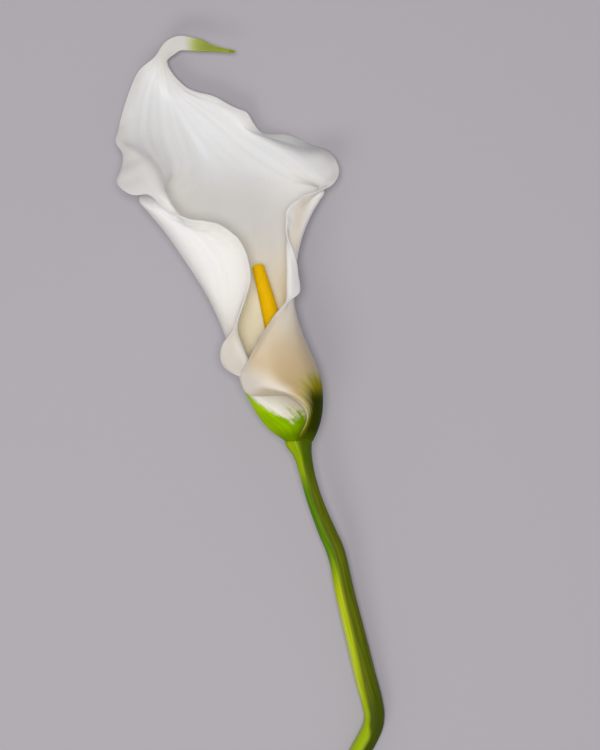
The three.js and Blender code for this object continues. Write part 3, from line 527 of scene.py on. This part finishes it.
def stalk_nodes(tree, path, sides):
    """Nodes that sweep a round section along a path, whose girth attribute gives the radius.

    The skin keeps the section's unit circle in its ring attribute, and the path's distance in up."""
    circle = add(tree, "GeometryNodeCurvePrimitiveCircle", {"Resolution": sides, "Radius": 1.0}).outputs[0]
    section = add(tree, "GeometryNodeStoreNamedAttribute", {
        "Geometry": circle, "Name": "ring", "Value": add(tree, "GeometryNodeInputPosition").outputs[0],
    }, data_type="FLOAT_VECTOR", domain="POINT").outputs["Geometry"]
    girth = add(tree, "GeometryNodeInputNamedAttribute", {"Name": "girth"}, data_type="FLOAT").outputs[0]
    return add(tree, "GeometryNodeCurveToMesh", {
        "Curve": path, "Profile Curve": section, "Scale": girth, "Fill Caps": True,
    }).outputs["Mesh"]


def finish_tree(tree, geometry, material):
    """Real, smooth geometry in the piece's material."""
    real = add(tree, "GeometryNodeRealizeInstances", {"Geometry": geometry})
    smooth = add(tree, "GeometryNodeSetShadeSmooth", {"Geometry": real.outputs[0]})
    coloured = add(tree, "GeometryNodeSetMaterial", {"Geometry": smooth.outputs[0], "Material": material})
    tree.interface.new_socket("Geometry", in_out="OUTPUT", socket_type="NodeSocketGeometry")
    add(tree, "NodeGroupOutput", {0: coloured.outputs[0]})


def grow(name, places, line, tree, settings):
    """A piece that the tree grows along a line, given the places along it where the path has points."""
    points = curve_at(line, places)
    joints = [(i, i + 1) for i in range(len(points) - 1)]
    path = bpy.data.meshes.new(name)
    path.from_pydata(((points[:, :3] + NECK) * MM).tolist(), joints, [])
    path.attributes.new("girth", "FLOAT", "POINT").data.foreach_set("value", points[:, 3] * MM)
    path.attributes.new("up", "FLOAT", "POINT").data.foreach_set("value", np.array(places) * MM)
    piece = bpy.data.objects.new(name, path)
    bpy.context.collection.objects.link(piece)
    growth = piece.modifiers.new("growth", "NODES")
    growth.node_group = tree
    for item in tree.interface.items_tree:
        if item.name in settings:
            growth[item.identifier] = settings[item.name]
    grown = bpy.data.meshes.new_from_object(piece.evaluated_get(bpy.context.evaluated_depsgraph_get()))
    piece.modifiers.remove(growth)
    piece.data = grown
    return piece


# Pollen-dusted floret tissue: dull, warm yellow, with painted shade a little deeper between the florets
pollen = bpy.data.materials.new("pollen_dusted_florets")
pollen.use_nodes = True
tree = pollen.node_tree
skin = tree.nodes["Principled BSDF"]
spot = add(tree, "ShaderNodeTexCoord").outputs["Object"]
floret_height = add(tree, "ShaderNodeAttribute", attribute_name="floret_height").outputs["Fac"]
patches, grains = [
    add(tree, "ShaderNodeTexNoise", {"Vector": spot, "Scale": per_metre, "Detail": detail}).outputs["Fac"]
    for per_metre, detail in ((350.0, 2), (5000.0, 1))  # patches 3 mm wide, and pollen of 0.2 mm
]
yellow = wash(tree, "#FFCE00", "#FFBE00", (patches, 0.3, 0.7))
# Painted shade: a deeper yellow low down between the florets
yellow = wash(tree, "#FFC200", yellow, (floret_height, 0.0, 1.0))
tree.links.new(yellow, skin.inputs["Base Color"])
dusty = add(tree, "ShaderNodeBump", {"Height": grains, "Strength": 0.3, "Distance": 0.00008})
tree.links.new(dusty.outputs[0], skin.inputs["Normal"])
skin.inputs["Roughness"].default_value = 0.7
skin.inputs["Specular IOR Level"].default_value = 0.08
skin.inputs["Subsurface Weight"].default_value = 0.3
skin.inputs["Subsurface Radius"].default_value = (1.0, 0.6, 0.1)
skin.inputs["Subsurface Scale"].default_value = 0.0006

tree = bpy.data.node_groups.new("spadix_growth", "GeometryNodeTree")
input_of(tree, "Geometry", "NodeSocketGeometry")
input_of(tree, "Florets", "NodeSocketInt", FLORETS)
input_of(tree, "Floret width", "NodeSocketFloat", FLORET_WIDTH * MM)
input_of(tree, "Turn", "NodeSocketFloat", GOLDEN_TURN)
input_of(tree, "Seed", "NodeSocketInt", SEED)
sizes = add(tree, "NodeGroupInput").outputs
path = add(tree, "GeometryNodeMeshToCurve", {"Mesh": sizes["Geometry"]}).outputs[0]
girth = add(tree, "GeometryNodeInputNamedAttribute", {"Name": "girth"}, data_type="FLOAT").outputs[0]
# Each floret's bed is a step up the column and a golden turn round it
beds = add(tree, "GeometryNodePoints", {"Count": sizes["Florets"]}).outputs[0]
number = add(tree, "GeometryNodeInputIndex").outputs[0]
half_past = add(tree, "ShaderNodeMath", {0: number, 1: 0.5}, operation="ADD").outputs[0]
step_up = add(tree, "ShaderNodeMath", {0: half_past, 1: sizes["Florets"]}, operation="DIVIDE").outputs[0]
where = add(tree, "GeometryNodeSampleCurve", {"Curves": path, "Value": girth, "Factor": step_up},
            mode="FACTOR", data_type="FLOAT").outputs
angle = add(tree, "ShaderNodeMath", {0: number, 1: sizes["Turn"]}, operation="MULTIPLY").outputs[0]
outward = add(tree, "ShaderNodeVectorRotate", {
    "Vector": where["Normal"], "Axis": where["Tangent"], "Angle": angle,
}).outputs[0]
reach = add(tree, "ShaderNodeMath", {0: sizes["Floret width"], 1: -FLORET_SUNK, 2: where["Value"]},
            operation="MULTIPLY_ADD").outputs[0]
seat = add(tree, "ShaderNodeVectorMath", {0: outward, 1: reach, 2: where["Position"]},
           operation="MULTIPLY_ADD").outputs[0]
beds = add(tree, "GeometryNodeSetPosition", {"Geometry": beds, "Position": seat}).outputs[0]
# A floret is a low dome, which knows its own height from -1 to 1
dome = add(tree, "GeometryNodeMeshUVSphere", {"Segments": 8, "Rings": 6, "Radius": 0.5}).outputs["Mesh"]
on_dome = add(tree, "GeometryNodeInputPosition").outputs[0]
top = add(tree, "ShaderNodeSeparateXYZ", {0: on_dome}).outputs["Z"]
rise = add(tree, "ShaderNodeMath", {0: top, 1: 2.0}, operation="MULTIPLY").outputs[0]
dome = add(tree, "GeometryNodeStoreNamedAttribute", {
    "Geometry": dome, "Name": "floret_height", "Value": rise,
}, data_type="FLOAT", domain="POINT").outputs["Geometry"]
spread = add(tree, "FunctionNodeRandomValue", {2: 0.9, 3: 1.1, 8: sizes["Seed"]},
             data_type="FLOAT").outputs[1]
wide = add(tree, "ShaderNodeMath", {0: spread, 1: sizes["Floret width"]}, operation="MULTIPLY").outputs[0]
high = add(tree, "ShaderNodeMath", {0: wide, 1: FLORET_HEIGHT}, operation="MULTIPLY").outputs[0]
florets = add(tree, "GeometryNodeInstanceOnPoints", {
    "Points": beds, "Instance": dome,
    "Rotation": add(tree, "FunctionNodeAlignRotationToVector", {"Vector": outward}, axis="Z").outputs[0],
    "Scale": add(tree, "ShaderNodeCombineXYZ", {0: wide, 1: wide, 2: high}).outputs[0],
}).outputs[0]
join = add(tree, "GeometryNodeJoinGeometry", {0: stalk_nodes(tree, path, COLUMN_SIDES)})
tree.links.new(florets, join.inputs[0])
finish_tree(tree, join.outputs[0], pollen)

round_tip = SPADIX_LENGTH - TIP_ROUND * (1 - np.sin(np.linspace(0, 1, 12) * math.pi / 2))
places = np.concatenate([np.linspace(0, SPADIX_LENGTH - TIP_ROUND, 60)[:-1], round_tip])
spadix_path = np.column_stack([places, curve_at(spadix_line, places)])
from_tip = np.clip((SPADIX_LENGTH - places) / TIP_ROUND, 0, 1)
spadix_path[:, 4] *= np.maximum(1 - (1 - from_tip) ** TIP_BLUNT, 0) ** (1 / TIP_BLUNT)
spadix = grow("spadix_column", places, spadix_path, tree, {
    "Florets": FLORETS, "Floret width": FLORET_WIDTH * MM, "Turn": GOLDEN_TURN, "Seed": SEED,
})
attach(spadix, "root")
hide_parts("spadix")

# ---- Stem ---------------------------------------------------------------------------------------
# The flower's leafless stalk: solid, juicy, with a smooth green skin over faint lengthwise ridges. It
# swells into the neck that carries the spathe, is bent sharply lower down, and ends in a plain cut.
stem_line = [  # distance along it, x, y, height, radius
    (-1.1, -0.4, 0.8, 20, 3), (-0.5, -0.35, 0.2, 20, 4.15), (0, -0.3, -0.3, 20, 4.15),
    (0.8, -0.05, -1.1, 20, 3.85), (1.6, 0.2, -1.9, 19.9, 3.5), (3, 0.6, -3.3, 19.6, 3),
    (4.5, 0.95, -4.7, 19.2, 2.7), (9, 1.9, -8.9, 18.2, 2.35), (18, 4.3, -17.5, 16.4, 2.35),
    (30, 8.8, -28.9, 14, 2.7), (34, 10.4, -32.5, 13.4, 2.75), (38, 11.6, -36.5, 12.7, 2.75),
    (46, 13.3, -44.8, 11.2, 2.9), (64, 17.4, -61.8, 8.3, 3.2), (74, 19.8, -71.7, 6.8, 3.3),
    (83, 22.1, -80.4, 5.6, 3.25), (87, 22.7, -84, 5.2, 3.15), (90, 22.4, -87.2, 4.8, 3.1),
    (93, 21.3, -90, 4.5, 3.1), (98, 18.7, -94.9, 4.1, 3.1), (117, 9.2, -112.8, 3.2, 3.1),
    (148, -4.3, -141, 3.1, 3.15), (180, -15.3, -170.1, 3.1, 3.2),
]
STEM_LENGTH = 180
NECK_INSIDE = -1.1  # where the stem starts, inside the spathe's base
CUT_EDGE = 0.2  # the knife leaves the skin's edge a little rounded
STEM_SIDES = 48

# Fresh stalk skin: smooth, waxy and slightly translucent, with long pale and dark streaks. Light and shade are
# painted on it: a lit green left side, a dull shaded right one, and the flower's shadow in grass green below
# the neck.
stalk_skin = bpy.data.materials.new("fresh_stalk_skin")
stalk_skin.use_nodes = True
tree = stalk_skin.node_tree
skin = tree.nodes["Principled BSDF"]
spot = add(tree, "ShaderNodeTexCoord").outputs["Object"]
up_it = add(tree, "ShaderNodeAttribute", attribute_name="up").outputs["Fac"]
ring = add(tree, "ShaderNodeAttribute", attribute_name="ring").outputs["Vector"]
left, low, _ = add(tree, "ShaderNodeSeparateXYZ", {0: ring}).outputs
# Ridges: about 0.6 mm apart round the stem, and 14 mm long
on_stalk = add(tree, "ShaderNodeCombineXYZ", {0: left, 1: low, 2: up_it}).outputs[0]
on_stalk = add(tree, "ShaderNodeVectorMath", {0: on_stalk, 1: (3.2, 3.2, 45.0)},
               operation="MULTIPLY").outputs[0]
ridges = add(tree, "ShaderNodeTexNoise", {
    "Vector": on_stalk, "Scale": 1.6, "Detail": 3, "Roughness": 0.6,
}).outputs["Fac"]
lit_side_green, flower_shadow_green, at_neck, shaded_side_green = [wash(tree, dark, pale, (ridges, 0.32, 0.68)) for dark, pale in (
    ("#A0B400", "#BECA12"), ("#4A7200", "#628E00"), ("#7EA000", "#A4B200"), ("#485600", "#646E00"),
)]
lit_side_green = wash(tree, lit_side_green, "#7EA400", (up_it, 0.076, 0.088), most=0.5)
# A painted highlight on the far left, strongest half way down
highlight_share = add(tree, "ShaderNodeMapRange", {0: up_it, 1: 0.084, 2: 0.07, 3: 0.05, 4: 0.5},
            interpolation_type="SMOOTHSTEP").outputs[0]
lit_side_green = wash(tree, lit_side_green, "#C6CE84", (left, 0.55, 0.95), (up_it, 0.046, 0.056), most=highlight_share)
# Painted shadow of the flower: grass green on the lit side up to about 47 mm from the neck
lit_side_green = wash(tree, lit_side_green, flower_shadow_green, (up_it, 0.047, 0.033))
lit_side_green = wash(tree, lit_side_green, at_neck, (up_it, 0.016, 0.007))
# Painted shade on the right side, changed at the neck and below the bend
shaded_side_green = wash(tree, shaded_side_green, "#435C00", (up_it, 0.014, 0.004), most=0.8)
shaded_side_green = wash(tree, shaded_side_green, "#2E4000", (up_it, 0.07, 0.09), most=0.7)
# The painted lit side is wider at the neck and below the bend, and narrower above the bend
for begins, full, wider in ((0.008, 0.0005, 0.15), (0.062, 0.082, -0.25), (0.089, 0.094, 0.45)):
    change = add(tree, "ShaderNodeMapRange", {0: up_it, 1: begins, 2: full, 4: wider},
                 interpolation_type="SMOOTHSTEP").outputs[0]
    left = add(tree, "ShaderNodeMath", {0: left, 1: change}, operation="ADD").outputs[0]
# The painted lit side on the left, the painted shaded side on the right
stalk_green = wash(tree, lit_side_green, shaded_side_green, (left, 0.5, 0.0))
# The cut shows pale pith with fine sap channels, and no ridges
channels = add(tree, "ShaderNodeTexVoronoi", {"Vector": spot, "Scale": 2200.0}, feature="F1").outputs[0]
pith = wash(tree, "#8FA84A", "#D5DEA0", (channels, 0.12, 0.3))
above_cut = add(tree, "ShaderNodeMath", {0: up_it, 1: (STEM_LENGTH - 0.001) * MM},
                operation="LESS_THAN").outputs[0]
tree.links.new(wash(tree, pith, stalk_green, most=above_cut), skin.inputs["Base Color"])
relief = add(tree, "ShaderNodeMath", {0: ridges, 1: above_cut}, operation="MULTIPLY").outputs[0]
raised = add(tree, "ShaderNodeBump", {"Height": relief, "Strength": 0.5, "Distance": 0.0003})
tree.links.new(raised.outputs[0], skin.inputs["Normal"])
skin.inputs["Roughness"].default_value = 0.42
skin.inputs["Specular IOR Level"].default_value = 0.1
skin.inputs["Subsurface Weight"].default_value = 0.2
skin.inputs["Subsurface Radius"].default_value = (0.5, 1.0, 0.1)
skin.inputs["Subsurface Scale"].default_value = 0.001

tree = bpy.data.node_groups.new("stalk_growth", "GeometryNodeTree")
input_of(tree, "Geometry", "NodeSocketGeometry")
input_of(tree, "Sides", "NodeSocketInt", STEM_SIDES)
sizes = add(tree, "NodeGroupInput").outputs
path = add(tree, "GeometryNodeMeshToCurve", {"Mesh": sizes["Geometry"]}).outputs[0]
finish_tree(tree, stalk_nodes(tree, path, sizes["Sides"]), stalk_skin)

NECK_END = 12  # the path's points are closer together above this
places = np.concatenate([
    np.linspace(NECK_INSIDE, NECK_END, 40)[:-1], np.linspace(NECK_END, STEM_LENGTH - CUT_EDGE, 240),
    [STEM_LENGTH],
])
stem_path = np.column_stack([places, curve_at(stem_line, places)])
stem_path[-1, 4] -= CUT_EDGE
stem = grow("stem_stalk", places, stem_path, tree, {"Sides": STEM_SIDES})
points = np.empty(len(stem.data.vertices) * 3)
stem.data.vertices.foreach_get("co", points)
points[2::3] = np.maximum(points[2::3], 0)  # it settles on the table
stem.data.vertices.foreach_set("co", points)
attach(stem, "root")
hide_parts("stem")

# ---- The table, the light and the camera ---------------------------------------------------------
# A plain pale table, a broad soft lamp beside the camera, a weaker one low at the left, and a camera that
# looks straight down on the flower.
bpy.ops.mesh.primitive_plane_add(size=4, location=(0, 0, 0))
table = bpy.context.object
table.name = "table"
plain = bpy.data.materials.new("plain_pale_table")
plain.use_nodes = True
plain.node_tree.nodes["Principled BSDF"].inputs["Base Color"].default_value = srgb("#ABA8B1")
plain.node_tree.nodes["Principled BSDF"].inputs["Roughness"].default_value = 0.9
table.data.materials.append(plain)


def lamp(name, place, target, size, power, colour):
    """A round lamp at a place, which points at a target."""
    light = bpy.data.lights.new(name, "AREA")
    light.shape, light.size, light.energy, light.color = "DISK", size, power, srgb(colour)[:3]
    holder = bpy.data.objects.new(name, light)
    bpy.context.collection.objects.link(holder)
    holder.location = place
    holder.rotation_euler = (Vector(target) - Vector(place)).to_track_quat("-Z", "Y").to_euler()


lamp("soft_above", (0.0, 0.04, 1.1), (0.01, 0.04, 0.0), 0.25, 7.4, "#FFFDFA")
lamp("window_low_left", (-0.25, -0.5, 0.85), (0, 0.02, 0.0), 0.5, 2.2, "#FFFBF4")
world = bpy.data.worlds.new("studio")
bpy.context.scene.world = world
world.use_nodes = True
world.node_tree.nodes["Background"].inputs["Color"].default_value = srgb("#F4F2EF")
world.node_tree.nodes["Background"].inputs["Strength"].default_value = 0.3
bpy.context.scene.view_settings.view_transform = "Standard"

CAMERA_HEIGHT = 0.820  # metres above the table
LOOKS_AT = 19.8  # up the flower from its neck
camera_data = bpy.data.cameras.new("above")
camera_data.sensor_width, camera_data.lens = 36.0, 128.0
camera = bpy.data.objects.new("above", camera_data)
bpy.context.collection.objects.link(camera)
camera.location = (NECK[0] * MM, (NECK[1] + LOOKS_AT) * MM, CAMERA_HEIGHT)
bpy.context.scene.camera = camera
